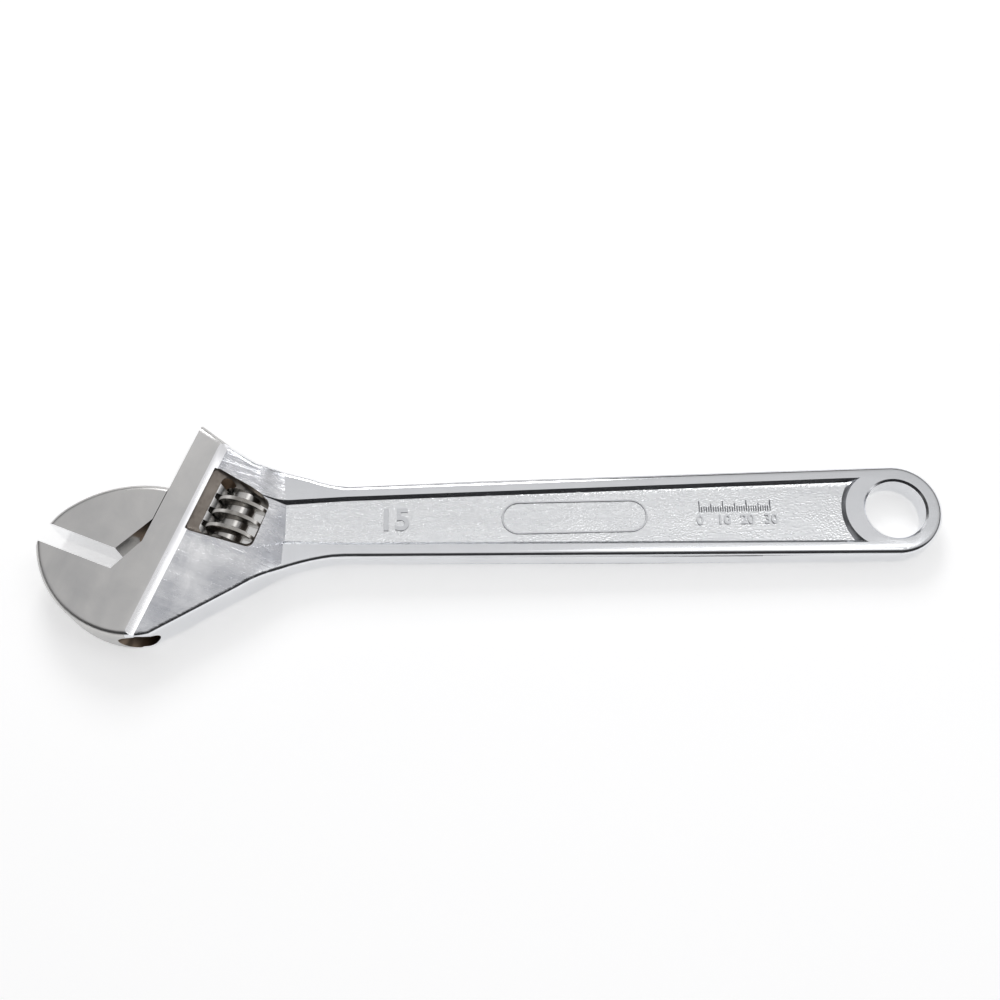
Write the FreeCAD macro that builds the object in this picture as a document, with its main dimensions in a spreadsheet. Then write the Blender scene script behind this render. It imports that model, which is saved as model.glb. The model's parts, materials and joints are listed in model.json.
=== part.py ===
"""Adjustable wrench, 15 inch: parametric assembly of its five pieces.

Frame: millimetres. The origin is the centre of the hang hole at mid thickness,
+X points along the handle away from the jaws, +Z is square to the broad faces
and the movable jaw is on the +Y side.

Jaw frame: the head is built in a frame of its own, turned clockwise by
jaw_angle. Its origin is where the guide edge of the head crosses the plane of
the fixed jaw's gripping face. Its X runs along the gripping face towards the
handle, and its Y is the direction in which the movable jaw opens.
"""
import FreeCAD, Part
import math
import os
import Sketcher

SIZES = [
    # overall
    ("handle_reach", 322.3, "hang hole to the jaw frame's origin, along the handle"),
    ("jaw_offset", 23.0, "jaw frame's origin below the handle's centre line"),
    ("jaw_angle", 22.5, "degrees between the gripping faces and the handle"),
    ("head_thickness", 21.0, "jaws and front of the head"),
    ("window_thickness", 17.8, "head behind the band, around the window"),
    ("handle_thickness", 12.2, "handle and ring"),
    # fixed jaw and head outline, jaw frame
    ("jaw_length", 40.6, "guide edge to the jaws' tips"),
    ("throat_length", 6.7, "relief of the fixed jaw's inner corner, along the face"),
    ("throat_height", 15.6, "relief of the fixed jaw's inner corner, along the guide"),
    ("tip_height", 2.9, "flat at the fixed jaw's tip"),
    ("jaw_round", 46.0, "radius of the fixed jaw's outer edge"),
    ("heel_round", 34.0, "radius of the head's lowest corner"),
    ("back_round", 53.0, "radius of the movable jaw's back"),
    ("nose_round", 28.0, "radius of the movable jaw's nose"),
    ("jaw_depth", 25.8, "lowest point of the fixed jaw under its gripping face"),
    ("head_height", 72.5, "head tip above the fixed gripping face"),
    ("head_width", 28.2, "guide edge to the point where the neck begins"),
    ("keel_run", 20.0, "guide edge to the end of the head's lower flat"),
    ("keel_rise", 6.6, "end of the head's lower flat above its lowest point"),
    ("crown_run", 15.9, "guide edge to the head's upper corner"),
    ("crown_fall", 4.5, "head's upper corner below the head tip"),
    ("shoulder_fall", 6.8, "start of the neck below the head tip"),
    ("tip_setback", 0.2, "movable jaw's tip behind the fixed one"),
    ("blank_lap", 2.0, "overlap of the front and rear blanks"),
    ("band_start", 11.0, "guide edge to the band's crest"),
    ("band_width", 3.6, "band that steps from head to window thickness"),
    ("front_round", 3.0, "rounding of the jaws' outer edges"),
    # shank, worm and pin
    ("shank_axis", 14.5, "guide edge to the shank's axis"),
    ("shank_diameter", 14.8, "round shank of the movable jaw"),
    ("web_thickness", 7.2, "web between jaw and shank"),
    ("worm_gap", 14.5, "shank's axis to the worm's axis"),
    ("worm_diameter", 21.0, "over the worm's ridges"),
    ("worm_root", 12.8, "diameter between the ridges"),
    ("worm_length", 21.5, "worm along its axis"),
    ("worm_base", 30.5, "lower end of the worm above the fixed face"),
    ("thread_pitch", 6.5, "lead of the single start thread"),
    ("crest_width", 1.5, "width of a ridge at its top"),
    ("flank_slope", 0.27, "flank's run for each millimetre of its height"),
    ("mesh_height", 38.9, "height at which a ridge meets the rack"),
    ("pin_diameter", 5.4, "worm pin"),
    ("pin_head", 8.4, "diameter of the pin's head"),
    ("pin_head_height", 3.0, "height of the pin's head"),
    ("pin_sink", 10.0, "underside of the pin's head below the head tip"),
    ("pin_depth", 7.5, "pin below the window"),
    ("pin_bevel", 0.6, "bevel of the pin's end"),
    ("driver_width", 1.2, "slot in the pin's head"),
    ("driver_depth", 1.3, "slot in the pin's head"),
    ("end_shoulder", 1.5, "worm's end face beyond the thread's root"),
    ("end_bevel", 2.4, "length of the worm's tapered ends"),
    ("spring_seat", 0.3, "radial, spring in the worm's pocket"),
    ("spring_turns", 4.5, "turns of the spring"),
    ("wire_diameter", 0.9, "spring wire"),
    ("spring_diameter", 8.2, "spring, centre to centre of the wire"),
    # window
    ("window_front", 13.0, "guide edge to the window's front edge"),
    ("window_width", 29.8, "window along the gripping direction"),
    ("window_top", 57.2, "front upper corner above the fixed face"),
    ("window_bottom", 27.0, "front lower corner above the fixed face"),
    ("top_fall", 0.161, "fall of the window's upper edge for each millimetre"),
    ("bottom_rise", 0.087, "rise of the window's lower edge for each millimetre"),
    ("window_corner", 3.0, "rounding of the window's corners"),
    ("front_flare", 5.0, "run of the window's sloping front wall"),
    ("side_flare", 1.2, "run of the window's other walls"),
    ("flare_depth", 1.9, "height of the sloping part of the walls"),
    ("rim", 0.5, "bevel round the window"),
    # movable jaw
    ("rest_opening", 8.6, "gap between the gripping faces at rest"),
    ("jaw_height", 33.1, "movable jaw's back above its gripping face"),
    ("nose_run", 4.1, "movable jaw's tip to the start of its nose"),
    ("nose_rise", 9.6, "start of the nose above the gripping face"),
    ("relief_length", 8.9, "movable jaw's inner corner, along the face"),
    ("relief_height", 17.2, "movable jaw's inner corner, along the guide"),
    ("shank_bottom", 8.0, "shank below the movable gripping face"),
    ("shank_top", 43.0, "shank above the movable gripping face"),
    ("web_bottom", 3.0, "web above the movable gripping face"),
    ("web_lap", 4.0, "web's depth inside the jaw and the shank"),
    ("groove_root", 0.4, "rack groove beyond the ridge's top"),
    ("groove_over", 1.0, "rack groove beyond the shank"),
    ("lead_place", 0.82, "share of the worm's radius where the groove's slant is taken"),
    # handle
    ("ring_radius", 20.0, "outside of the ring"),
    ("hang_radius", 12.8, "hang hole"),
    ("hang_bevel", 0.9, "bevel of the hang hole's edges"),
    ("neck_low_place", 46.3, "jaw frame's origin to the neck's lower hollow"),
    ("neck_low_half", 29.3, "neck's lower side where the hollow begins"),
    ("neck_low_round", 91.0, "radius of the neck's lower hollow"),
    ("neck_high_place", 74.3, "jaw frame's origin to the neck's upper hollow"),
    ("neck_high_rise", 4.1, "neck's upper side above the waist where the hollow ends"),
    ("neck_high_round", 60.0, "radius of the neck's upper hollow"),
    ("waist_lead", 6.0, "straight run into the waist"),
    ("waist_rise", 0.2, "widening over that run"),
    ("waist_half", 16.2, "half width of the handle at its waist"),
    ("waist_place", 90.3, "jaw frame's origin to the waist, along the handle"),
    ("side_bow", 16000.0, "radius of the handle's long sides"),
    ("slope_start", 48.3, "jaw frame's origin to the start of the neck's slope"),
    ("slope_length", 18.0, "neck's slope from window to handle thickness"),
    ("edge_round", 2.6, "rounding of the handle's edges"),
    ("rail_width", 5.4, "side of the handle to the top of the recess wall"),
    ("recess_taper", 1.2, "narrowing of the recess at its ramp"),
    ("boss_width", 1.3, "ring to the round end of the recess"),
    ("recess_depth", 1.5, "recess below the rails, and the run of its wall"),
    ("recess_start", 64.3, "jaw frame's origin to the end of the recess's ramp"),
    ("ramp_length", 14.0, "ramp at the head end of the recess"),
    # clearances
    ("bore_clearance", 0.10, "radial, shank in its bore"),
    ("pin_clearance", 0.10, "radial, worm on its pin"),
    ("seat_clearance", 0.02, "radial, pin in the head"),
    ("guide_clearance", 0.30, "jaw to guide edge, web to slot"),
    ("spring_clearance", 0.08, "spring's ends to worm and wall"),
    ("mesh_clearance", 0.33, "ridge to rack, each flank"),
]

doc = FreeCAD.newDocument("adjustable_wrench")


def make_sheet():
    """Put every driving dimension in the sheet, one row each, with its alias."""
    sheet = doc.addObject("Spreadsheet::Sheet", "dim")
    for row, (alias, value, note) in enumerate(SIZES, start=1):
        sheet.set(f"A{row}", alias)
        sheet.set(f"B{row}", str(value))
        sheet.set(f"C{row}", note)
        sheet.setAlias(f"B{row}", alias)
    doc.recompute()
    return sheet


dim = make_sheet()


def value(text):
    """Number that an expression on the sheet's sizes gives."""
    result = dim.evalExpression(text)
    return float(getattr(result, "Value", result))


def with_sheet(text):
    """Expression as other objects need it: each alias led by the sheet's name."""
    out, word = [], ""
    aliases = {alias for alias, _, _ in SIZES}
    for letter in text + " ":
        if letter.isalnum() or letter == "_":
            word += letter
            continue
        out.append(f"dim.{word}" if word in aliases else word)
        out.append(letter)
        word = ""
    return "".join(out).strip()


def bind(obj, **expressions):
    """Tie properties of an object to the sheet."""
    for name, text in expressions.items():
        obj.setExpression(name.replace("__", "."), with_sheet(text))


def plane(body, role):
    return next(f for f in body.Origin.OriginFeatures if f.Role == role)


def arc_through(start, end, radius):
    """Arc from start to end. A positive radius turns to the left, as on a
    counter-clockwise outline that bulges outwards."""
    chord = end - start
    half = chord.Length / 2
    rise = math.sqrt(max(radius * radius - half * half, 0.0))
    side = FreeCAD.Vector(-chord.y, chord.x, 0).normalize()
    centre = start + chord / 2 + side * (rise if radius > 0 else -rise)
    first, last = (start, end) if radius > 0 else (end, start)
    angles = [math.atan2(p.y - centre.y, p.x - centre.x) for p in (first, last)]
    circle = Part.Circle(centre, FreeCAD.Vector(0, 0, 1), abs(radius))
    return Part.ArcOfCircle(circle, angles[0], angles[1])


def sketch_on(body, name, role, lift=None, turn=None):
    """Empty sketch on one of the body's origin planes, lifted by an expression
    along the plane's normal and turned about the plane's own X."""
    sketch = body.newObject("Sketcher::SketchObject", name)
    sketch.AttachmentSupport = [(plane(body, role), "")]
    sketch.MapMode = "FlatFace"
    if turn:
        rotation = FreeCAD.Rotation(FreeCAD.Vector(1, 0, 0), value(turn))
        sketch.AttachmentOffset = FreeCAD.Placement(FreeCAD.Vector(), rotation)
        bind(sketch, AttachmentOffset__Rotation__Angle=turn)
    if lift:
        bind(sketch, AttachmentOffset__Base__z=lift)
    return sketch


def outline(sketch, corners):
    """Closed outline. Each corner is (x, y) or (x, y, radius), all expressions:
    with a radius, the edge that leaves the corner is an arc."""
    points = [FreeCAD.Vector(value(c[0]), value(c[1]), 0) for c in corners]
    ends = []
    for index, corner in enumerate(corners):
        start, end = points[index], points[(index + 1) % len(points)]
        if len(corner) == 2:
            geo = sketch.addGeometry(Part.LineSegment(start, end))
            ends.append((geo, 1, 2))
            continue
        radius = value(corner[2])
        geo = sketch.addGeometry(arc_through(start, end, radius))
        ends.append((geo, 1, 2) if radius > 0 else (geo, 2, 1))
    for index, corner in enumerate(corners):
        geo, first, last = ends[index]
        after, after_first, _ = ends[(index + 1) % len(ends)]
        sketch.addConstraint(Sketcher.Constraint("Coincident", geo, last, after, after_first))
        for kind, text, number in (("DistanceX", corner[0], points[index].x),
                                   ("DistanceY", corner[1], points[index].y)):
            made = sketch.addConstraint(Sketcher.Constraint(kind, geo, first, number))
            sketch.setExpression(f"Constraints[{made}]", with_sheet(text))
        if len(corner) == 3:
            radius = corner[2].lstrip("-")
            made = sketch.addConstraint(Sketcher.Constraint("Radius", geo, value(radius)))
            sketch.setExpression(f"Constraints[{made}]", with_sheet(radius))
    return sketch


def circle(sketch, x, y, radius):
    """Circle with its centre and radius tied to the sheet."""
    centre = FreeCAD.Vector(value(x), value(y), 0)
    geo = sketch.addGeometry(Part.Circle(centre, FreeCAD.Vector(0, 0, 1), value(radius)))
    for kind, text, number in (("DistanceX", x, centre.x), ("DistanceY", y, centre.y)):
        made = sketch.addConstraint(Sketcher.Constraint(kind, geo, 3, number))
        sketch.setExpression(f"Constraints[{made}]", with_sheet(text))
    made = sketch.addConstraint(Sketcher.Constraint("Radius", geo, value(radius)))
    sketch.setExpression(f"Constraints[{made}]", with_sheet(radius))
    return sketch


def feature(body, kind, name, sketch, **expressions):
    """Sketch based feature, hidden sketch, sizes tied to the sheet."""
    made = body.newObject(f"PartDesign::{kind}", name)
    made.Profile = sketch
    bind(made, **expressions)
    return made


def pad(body, name, sketch, length):
    """Pad to both sides of its sketch."""
    made = feature(body, "Pad", name, sketch, Length=length)
    made.SideType = "Symmetric"
    doc.recompute()
    return made


def in_jaw_frame(obj, rise="0"):
    """Place an object in the jaw frame, raised in the opening direction."""
    turn = FreeCAD.Rotation(FreeCAD.Vector(0, 0, 1), -value("jaw_angle"))
    obj.Placement = FreeCAD.Placement(FreeCAD.Vector(), turn)
    bind(obj,
         Placement__Base__x=f"-handle_reach + ({rise}) * sin(jaw_angle * 1deg)",
         Placement__Base__y=f"-jaw_offset + ({rise}) * cos(jaw_angle * 1deg)",
         Placement__Rotation__Angle="-jaw_angle")
    return obj


def new_body(name):
    body = doc.addObject("PartDesign::Body", name)
    body.Label = name
    return body


def on_object(along, up):
    """Point of the jaw frame as a pair of expressions in the object's frame."""
    return (f"-handle_reach + ({along}) * cos(jaw_angle * 1deg) + ({up}) * sin(jaw_angle * 1deg)",
            f"-jaw_offset - ({along}) * sin(jaw_angle * 1deg) + ({up}) * cos(jaw_angle * 1deg)")


def middle_normal(face):
    u0, u1, v0, v1 = face.ParameterRange
    return face.normalAt((u0 + u1) / 2, (v0 + v1) / 2)


def round_edges(body, name, base, radius, level, keep_sharp):
    """Fillet where side walls meet the broad faces above a level. Edges whose
    ends all pass the keep_sharp test stay as they are."""
    shape = base.Shape
    walls = [face for face in shape.Faces if abs(middle_normal(face).z) < 0.01]
    picked = []
    for number, edge in enumerate(shape.Edges, start=1):
        high = all(abs(v.Z) > value(level) - 0.01 for v in edge.Vertexes)
        borders = sum(any(edge.isSame(side) for side in wall.Edges) for wall in walls)
        if high and borders == 1 and not all(keep_sharp(v) for v in edge.Vertexes):
            picked.append(f"Edge{number}")
    made = body.newObject("PartDesign::Fillet", name)
    made.Base = (base, picked)
    bind(made, Radius=radius)
    doc.recompute()
    return made


def cut_through(body, name, sketch, **expressions):
    """Pocket to both sides through everything."""
    before = body.Tip.Shape.Volume
    made = feature(body, "Pocket", name, sketch, **expressions)
    made.SideType = "Symmetric"
    made.Type = "ThroughAll"
    doc.recompute()
    assert made.Shape.Volume < before - 1, f"{name} cuts nothing"
    return made


def loft(body, kind, name, sections):
    """Ruled loft through sketches, added or taken away."""
    made = feature(body, kind, name, sections[0])
    made.Sections = sections[1:]
    made.Ruled = True
    doc.recompute()
    return made


def in_jaw(vertex):
    """Place of an object frame vertex in the jaw frame."""
    turn = math.radians(value("jaw_angle"))
    x, y = vertex.X + value("handle_reach"), vertex.Y + value("jaw_offset")
    return x * math.cos(turn) - y * math.sin(turn), x * math.sin(turn) + y * math.cos(turn)


def make_handle():
    """Handle, ring, neck and the rear of the head from one outline."""
    body = new_body("handle_blank")
    corners = [
        on_object("blank_lap", "-jaw_depth") + ("heel_round",),
        on_object("keel_run", "keel_rise - jaw_depth"),
        ("-handle_reach + neck_low_place", "-neck_low_half", "-neck_low_round"),
        ("-handle_reach + waist_place - waist_lead", "-waist_half - waist_rise"),
        ("-handle_reach + waist_place", "-waist_half", "side_bow"),
        ("0", "-ring_radius", "ring_radius"),
        ("ring_radius", "0", "ring_radius"),
        ("0", "ring_radius", "side_bow"),
        ("-handle_reach + waist_place", "waist_half", "-neck_high_round"),
        ("-handle_reach + neck_high_place", "waist_half + neck_high_rise"),
        on_object("head_width", "head_height - shoulder_fall"),
        on_object("crown_run", "head_height - crown_fall"),
        on_object("blank_lap", "head_height - crown_fall * blank_lap / crown_run"),
    ]
    plan = outline(sketch_on(body, "handle_plan", "XY_Plane"), corners)
    pad(body, "handle_pad", plan, "window_thickness")
    side = sketch_on(body, "handle_side", "XZ_Plane")
    drop = "(window_thickness - handle_thickness) / 2"
    bow = f"(slope_length ^ 2 + ({drop}) ^ 2) / (4 * ({drop}))"
    for sign, first, second in (("", "-", ""), ("-", "", "-")):
        outline(side, [
            ("-handle_reach + slope_start", f"{sign}window_thickness / 2", first + bow),
            ("-handle_reach + slope_start + slope_length / 2",
             f"{sign}(window_thickness + handle_thickness) / 4", second + bow),
            ("-handle_reach + slope_start + slope_length", f"{sign}handle_thickness / 2"),
            ("2 * ring_radius", f"{sign}handle_thickness / 2"),
            ("2 * ring_radius", f"{sign}window_thickness"),
            ("-handle_reach + slope_start", f"{sign}window_thickness"),
        ])
    thin = cut_through(body, "thickness_cut", side)
    round_edges(body, "handle_rounding", thin, "edge_round", "handle_thickness / 2",
                lambda vertex: in_jaw(vertex)[0] < value("blank_lap") + 0.01)
    for sign in ("", "-"):
        before = body.Tip.Shape.Volume
        loft(body, "SubtractiveLoft", f"recess_{sign and 'low' or 'up'}",
             [recess_section(body, sign, f"({drop} + recess_depth / 3)"),
              recess_section(body, sign, "-recess_depth")])
        assert body.Tip.Shape.Volume < before - 1
    hole = circle(sketch_on(body, "hang_hole", "XY_Plane"), "0", "0", "hang_radius")
    cut_through(body, "hang_pocket", hole)
    base = body.Tip
    radius, half = value("hang_radius"), value("handle_thickness / 2")
    rims = [f"Edge{n}" for n, e in enumerate(base.Shape.Edges, start=1)
            if not e.Degenerated
            and all(abs(math.hypot(p.x, p.y) - radius) < 0.01 and abs(abs(p.z) - half) < 0.01
                    for p in e.discretize(4))]
    bevel = body.newObject("PartDesign::Chamfer", "hang_bevel")
    bevel.Base = (base, rims)
    bind(bevel, Size="hang_bevel")
    return body


def recess_section(body, sign, rise):
    """Recess outline at a height above the broad face: it widens as it rises."""
    name = f"recess_{'low' if sign else 'up'}_{'floor' if rise[0] == '-' else 'mouth'}"
    sketch = sketch_on(body, name, "XY_Plane", lift=f"{sign}(handle_thickness / 2 + {rise})")
    narrow = f"(waist_half - rail_width - recess_taper + {rise})"
    waist = f"(waist_half - rail_width + {rise})"
    wide = f"(ring_radius - rail_width + {rise})"
    boss = f"(ring_radius + boss_width - {rise})"
    start = "-handle_reach + recess_start" + ("" if rise[0] == "-" else " - ramp_length")
    ring_x = f"-sqrt({boss} ^ 2 - {wide} ^ 2)"
    waist_x = "-handle_reach + waist_place"
    return outline(sketch, [
        (start, f"-{narrow}"), (waist_x, f"-{waist}"), (ring_x, f"-{wide}", f"-{boss}"),
        (ring_x, wide), (waist_x, waist), (start, narrow),
    ])


def make_front():
    """Front of the head and the fixed jaw, up to the band."""
    body = in_jaw_frame(new_body("front_blank"))
    plan = outline(sketch_on(body, "front_plan", "XY_Plane"), [
        ("-jaw_length", "0"),
        ("-jaw_length", "-tip_height", "jaw_round"),
        ("blank_lap", "-jaw_depth", "heel_round"),
        ("keel_run", "keel_rise - jaw_depth"),
        ("head_width", "head_height / 4"),
        ("head_width - blank_lap", "head_height - shoulder_fall"),
        ("crown_run", "head_height - crown_fall"),
        ("0", "head_height"),
        ("0", "throat_height"),
        ("-throat_length", "0"),
    ])
    pad(body, "front_pad", plan, "head_thickness")
    side = outline(sketch_on(body, "band_side", "XZ_Plane"), [
        ("band_start", "head_thickness / 2"),
        ("band_start", "head_thickness"),
        ("2 * head_width", "head_thickness"),
        ("2 * head_width", "-head_thickness"),
        ("band_start", "-head_thickness"),
        ("band_start", "-head_thickness / 2"),
        ("band_start + band_width", "-window_thickness / 2"),
        ("band_start + band_width", "window_thickness / 2"),
    ])
    banded = cut_through(body, "band_cut", side)
    round_edges(body, "front_rounding", banded, "front_round", "head_thickness / 2",
                lambda v: v.X < 0.5 and v.Y > -value("tip_height") - 0.01)
    return body


def window_section(body, name, lift, run, side_run):
    """Rounded four sided outline of the window, drawn in by run."""
    front, rear = f"(window_front + {run})", f"(window_front + window_width - ({side_run}))"
    low, high = f"(window_bottom + ({side_run}))", f"(window_top - ({side_run}))"
    cut = "window_corner"
    sketch = sketch_on(body, name, "XY_Plane", lift=lift)
    return outline(sketch, [
        (f"{front} + {cut}", f"{low} + bottom_rise * {cut}"),
        (f"{rear} - {cut}", f"{low} + bottom_rise * (window_width - {cut})", "window_corner"),
        (rear, f"{low} + bottom_rise * window_width + {cut}"),
        (rear, f"{high} - top_fall * window_width - {cut}", "window_corner"),
        (f"{rear} - {cut}", f"{high} - top_fall * (window_width - {cut})"),
        (f"{front} + {cut}", f"{high} - top_fall * {cut}", "window_corner"),
        (front, f"{high} - {cut}"),
        (front, f"{low} + {cut}", "window_corner"),
    ])


def make_window():
    """Negative of the window: straight in the middle, flared to both faces."""
    body = in_jaw_frame(new_body("window_tool"))
    half = "window_thickness / 2"
    levels = [
        (f"-{half} - rim", "-rim", "-rim"),
        (f"-{half} + rim", "rim / 4", "rim / 4"),
        (f"-{half} + flare_depth", "front_flare", "side_flare"),
        (f"{half} - flare_depth", "front_flare", "side_flare"),
        (f"{half} - rim", "rim / 4", "rim / 4"),
        (f"{half} + rim", "-rim", "-rim"),
    ]
    sections = [window_section(body, f"window_level_{n}", *level) for n, level in enumerate(levels)]
    loft(body, "AdditiveLoft", "window_loft", sections)
    return body


def jaw_cylinder(name, along, radius, bottom, top):
    """Round bar along the opening direction, in the jaw frame."""
    made = in_jaw_frame(new_body(name))
    ring = circle(sketch_on(made, f"{name}_ring", "XZ_Plane", lift=f"-({bottom})"), along, "0", radius)
    bar = feature(made, "Pad", f"{name}_pad", ring, Length=f"{top} - ({bottom})")
    bar.Reversed = True
    doc.recompute()
    return made


def make_wrench_body():
    """Blanks joined, then window, bore, web slot and pin hole cut from them."""
    blank = doc.addObject("Part::MultiFuse", "body_blank")
    blank.Shapes = [make_handle(), make_front()]
    blank.Refine = True
    slot = in_jaw_frame(doc.addObject("Part::Box", "web_slot"))
    slot_x, slot_y = on_object("-throat_length", "web_bottom / 3")
    bind(slot, Length="shank_axis + throat_length", Width="head_height + pin_sink",
         Height="web_thickness + 2 * guide_clearance",
         Placement__Base__x=slot_x, Placement__Base__y=slot_y,
         Placement__Base__z="-web_thickness / 2 - guide_clearance")
    worm_axis = "shank_axis + worm_gap"
    tools = doc.addObject("Part::MultiFuse", "body_tools")
    tools.Shapes = [
        make_window(),
        slot,
        jaw_cylinder("shank_bore", "shank_axis", "shank_diameter / 2 + bore_clearance",
                     "-2 * jaw_depth", "head_height + pin_sink"),
        jaw_cylinder("pin_hole", worm_axis, "pin_diameter / 2 + seat_clearance",
                     "window_bottom - pin_depth - pin_bevel", "head_height"),
        jaw_cylinder("pin_head_hole", worm_axis, "pin_head / 2 + seat_clearance",
                     "head_height - pin_sink - seat_clearance", "head_height + pin_sink"),
    ]
    body = doc.addObject("Part::Cut", "wrench_body")
    body.Base = blank
    body.Tool = tools
    body.Label = "wrench_body"
    doc.recompute()
    return body


def make_movable_jaw():
    """Jaw, web and round shank with its rack, gripping face at Y = 0."""
    body = in_jaw_frame(new_body("movable_jaw"), rise="rest_opening")
    plan = outline(sketch_on(body, "jaw_plan", "XY_Plane"), [
        ("-jaw_length + tip_setback", "0"),
        ("-relief_length", "0"),
        ("-guide_clearance", "relief_height"),
        ("-guide_clearance", "jaw_height", "back_round"),
        ("-jaw_length + nose_run", "nose_rise", "nose_round"),
    ])
    plate = pad(body, "jaw_pad", plan, "head_thickness")
    round_edges(body, "jaw_rounding", plate, "front_round", "head_thickness / 2",
                lambda v: v.X > -1 or v.Y < 0.01)
    web = outline(sketch_on(body, "web_plan", "XY_Plane"), [
        ("-web_lap", "relief_height / 2"),
        ("0", "web_bottom"),
        ("shank_axis", "web_bottom"),
        ("shank_axis", "shank_top - web_lap"),
        ("shank_axis - shank_diameter / 2 + 1", "shank_top - shank_diameter / 2 + 1"),
        ("-guide_clearance", "jaw_height - front_round - guide_clearance"),
        ("-web_lap", "jaw_height - front_round - 1"),
    ])
    pad(body, "web_pad", web, "web_thickness")
    ring = circle(sketch_on(body, "shank_ring", "XZ_Plane", lift="shank_bottom"),
                  "shank_axis", "0", "shank_diameter / 2")
    shank = feature(body, "Pad", "shank_pad", ring, Length="shank_bottom + shank_top")
    shank.Reversed = True
    doc.recompute()
    before = body.Tip.Shape.Volume
    lead = "atan(thread_pitch / (2 * pi * lead_place * worm_diameter / 2)) / 1deg"
    first = "mesh_height - rest_opening - thread_pitch * ceil((mesh_height - rest_opening"\
            " + shank_bottom) / thread_pitch)"
    tip = "shank_axis + worm_gap - worm_diameter / 2 - groove_root"
    rear = "shank_axis + worm_gap - worm_root / 2 + groove_over"
    narrow = "(crest_width / 2 + mesh_clearance)"
    wide = f"({narrow} + flank_slope * ({rear} - ({tip})))"
    groove = outline(sketch_on(body, "groove", "XY_Plane", turn=f"-{lead}"), [
        (tip, f"{first} - {narrow}"),
        (rear, f"{first} - {wide}"),
        (rear, f"{first} + {wide}"),
        (tip, f"{first} + {narrow}"),
    ])
    cut = feature(body, "Pocket", "rack_groove", groove)
    cut.SideType = "Symmetric"
    cut.Type = "ThroughAll"
    doc.recompute()
    rack = body.newObject("PartDesign::LinearPattern", "rack")
    rack.Originals = [cut]
    rack.Direction = (plane(body, "Y_Axis"), [""])
    bind(rack, Occurrences="ceil((mesh_height - rest_opening + shank_bottom) / thread_pitch)"
                           " + ceil((shank_top - mesh_height + rest_opening) / thread_pitch) + 1")
    rack.Mode = "Spacing"
    bind(rack, Offset="thread_pitch")
    body.Tip = rack
    doc.recompute()
    assert rack.Shape.Volume < before - 100, "no rack was cut"
    return body


def at_worm(obj, rise):
    """Place an object whose own Z is the worm's axis."""
    flat = FreeCAD.Rotation(FreeCAD.Vector(1, 0, 0), -90)
    turn = FreeCAD.Rotation(FreeCAD.Vector(0, 0, 1), -value("jaw_angle"))
    x, y = on_object("shank_axis + worm_gap", rise)
    obj.Placement = FreeCAD.Placement(FreeCAD.Vector(), turn.multiply(flat))
    bind(obj, Placement__Base__x=x, Placement__Base__y=y)
    return obj


def make_worm():
    """Knurl screw: a core with one right hand ridge, bored for pin and spring.

    The ridge starts on the rack's side, so that it crosses mesh_height there.
    """
    root, top = value("worm_root / 2"), value("worm_diameter / 2")
    pitch, length = value("thread_pitch"), value("worm_length")
    crest, slope = value("crest_width / 2"), value("flank_slope")
    sunk = 0.3
    foot = crest + slope * (top - root + sunk)
    axis = FreeCAD.Vector(0, 0, 1)

    def outline_of(corners):
        points = [FreeCAD.Vector(x, 0, z) for x, z in corners + corners[:1]]
        return Part.makePolygon(points)

    profile = outline_of([(root - sunk, -foot), (top, -crest), (top, crest), (root - sunk, foot)])
    helix = Part.makeHelix(pitch, length + 3 * pitch, root)
    ridge = Part.Wire(helix.Edges).makePipeShell([profile], True, True)
    ridge.rotate(FreeCAD.Vector(), axis, 180)
    over = value("mesh_height - worm_base") % pitch
    ridge.translate(FreeCAD.Vector(0, 0, over - 2 * pitch))
    core = Part.makeCylinder(root, length + 4 * pitch, FreeCAD.Vector(0, 0, -2 * pitch))
    shoulder, lead_in = value("worm_root / 2 + end_shoulder"), value("end_bevel")
    ends = Part.Face(outline_of([
        (0, 0), (shoulder, 0), (top + 1, lead_in), (top + 1, length - lead_in),
        (shoulder, length), (0, length)])).revolve(FreeCAD.Vector(), axis, 360)
    worm = ridge.fuse(core).common(ends)
    worm = worm.cut(Part.makeCylinder(value("pin_diameter / 2 + pin_clearance"), length))
    seat = value("spring_diameter / 2 + wire_diameter / 2 + spring_seat")
    depth = value("worm_length / 3")
    pocket = Part.makeCylinder(seat, depth, FreeCAD.Vector(0, 0, length - depth))
    made = doc.addObject("Part::Feature", "worm")
    made.Label = "worm"
    made.Shape = worm.cut(pocket)
    return at_worm(made, "worm_base")


def make_pin():
    """Screw that carries the worm, with a slotted head in the shoulder."""
    body = at_worm(new_body("worm_pin"), "window_bottom - pin_depth")
    shaft, rim = "pin_diameter / 2", "pin_bevel / 2"
    head_low = "head_height - pin_sink - (window_bottom - pin_depth)"
    head_top = f"({head_low} + pin_head_height)"
    half = outline(sketch_on(body, "pin_half", "XZ_Plane"), [
        ("0", "0"), (f"{shaft} - pin_bevel", "0"), (shaft, "pin_bevel"), (shaft, head_low),
        ("pin_head / 2", head_low), ("pin_head / 2", f"{head_top} - {rim}"),
        (f"pin_head / 2 - {rim}", head_top), ("0", head_top),
    ])
    turned = feature(body, "Revolution", "pin_turned", half)
    turned.ReferenceAxis = (half, ["V_Axis"])
    doc.recompute()
    side, floor, sky = "driver_width / 2", f"{head_top} - driver_depth", f"{head_top} + driver_depth"
    driver = outline(sketch_on(body, "driver_slot", "XZ_Plane"), [
        (f"-{side}", floor), (side, floor), (side, sky), (f"-{side}", sky),
    ])
    cut_through(body, "driver_cut", driver)
    return body


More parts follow.
